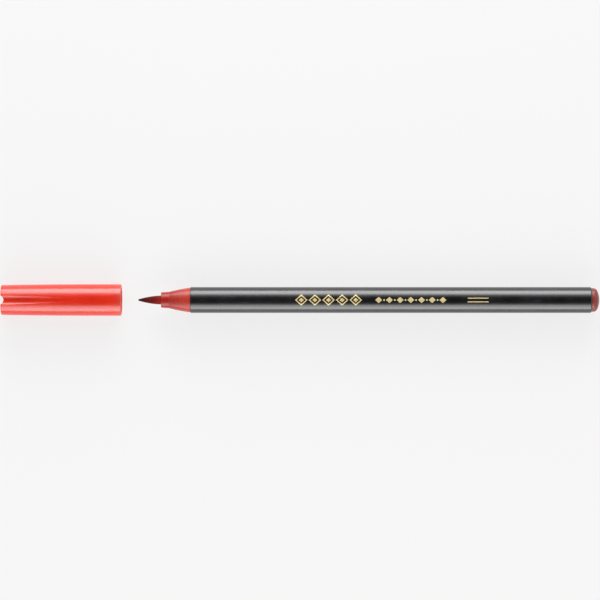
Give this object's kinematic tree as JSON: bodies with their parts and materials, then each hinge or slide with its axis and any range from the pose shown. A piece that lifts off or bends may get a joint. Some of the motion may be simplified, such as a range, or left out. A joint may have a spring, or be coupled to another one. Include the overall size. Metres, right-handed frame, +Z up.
{
  "type": "brush pen",
  "caption": "Slim round brush pen with a firm fibre nib, a dark barrel, a domed end plug and a fluted pull-off cap drawn off in line with it.",
  "frame": {"origin": "bottom centre of the bounding box, on the surface that the cap rests on, half way along the whole set with the cap drawn off", "axes": "+X along the pen axis from the nib to the end plug, +Z up, +Y across the pen"},
  "size_m": [0.196, 0.0104, 0.0104],
  "materials": {
    "cap_plastic": "gloss moulded polypropylene, red, slightly translucent",
    "liner_plastic": "natural white moulded polyethylene",
    "section_plastic": "gloss moulded, red, translucent",
    "nib_fibre": "bonded fibre soaked with red ink",
    "barrel_plastic": "satin-gloss moulded, black",
    "wick_fibre": "fibre bundle soaked with red ink",
    "wrap_film": "thin clear film",
    "plug_plastic": "gloss moulded, deep red"
  },
  "bodies": {
    "pen": {"section": "section_plastic", "brush_nib": "nib_fibre", "barrel": "barrel_plastic", "ink_reservoir": "wick_fibre", "reservoir_film": "wrap_film", "end_plug": "plug_plastic"},
    "cap": {"cap_shell": "cap_plastic", "cap_liner": "liner_plastic"}
  },
  "joints": [
    {"name": "cap_slide", "type": "slide", "parent": "pen", "child": "cap", "axis": [1, 0, 0], "range_m": [0, 0.0399]}
  ]
}
